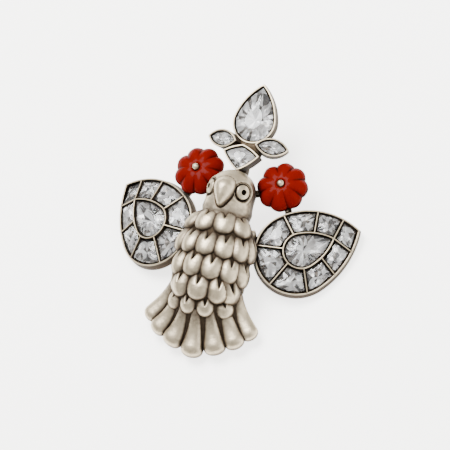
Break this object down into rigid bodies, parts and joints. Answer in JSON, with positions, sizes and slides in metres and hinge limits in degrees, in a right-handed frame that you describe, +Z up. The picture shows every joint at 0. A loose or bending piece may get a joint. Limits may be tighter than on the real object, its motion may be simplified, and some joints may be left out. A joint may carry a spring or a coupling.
{
  "type": "peacock brooch",
  "caption": "Silver bird brooch with domed stone-set wings, coral flowers, a stone crest, a feathered body and a ribbed fan tail, lying on its back.",
  "frame": {"origin": "on the surface the brooch rests on, under the middle of its bounding box", "axes": "+Z straight up from the surface, +Y from the tail to the crest, +X to the right of the bird as the viewer sees it"},
  "size_m": [0.0584, 0.0642, 0.0194],
  "materials": {
    "silver": "satin cast silver, darkened in the recesses",
    "coral": "polished red coral",
    "glass_stone": "clear faceted glass with a foil behind it"
  },
  "bodies": {
    "root": {"brooch_pin": "silver", "coral_flower_left": "coral", "coral_flower_right": "coral", "crest_marquise_left": "glass_stone", "crest_marquise_right": "glass_stone", "crest_pear": "glass_stone", "crest_spade": "glass_stone", "flower_pin_left": "silver", "flower_pin_right": "silver", "silver_mount": "silver", "wing_pear_left": "glass_stone", "wing_pear_right": "glass_stone", "wing_stone_1_left": "glass_stone", "wing_stone_1_right": "glass_stone", "wing_stone_2_left": "glass_stone", "wing_stone_2_right": "glass_stone", "wing_stone_3_left": "glass_stone", "wing_stone_3_right": "glass_stone", "wing_stone_4_left": "glass_stone", "wing_stone_4_right": "glass_stone", "wing_stone_5_left": "glass_stone", "wing_stone_5_right": "glass_stone", "wing_stone_6_left": "glass_stone", "wing_stone_6_right": "glass_stone", "wing_stone_7_left": "glass_stone", "wing_stone_7_right": "glass_stone", "wing_stone_8_left": "glass_stone", "wing_stone_8_right": "glass_stone"}
  },
  "joints": []
}
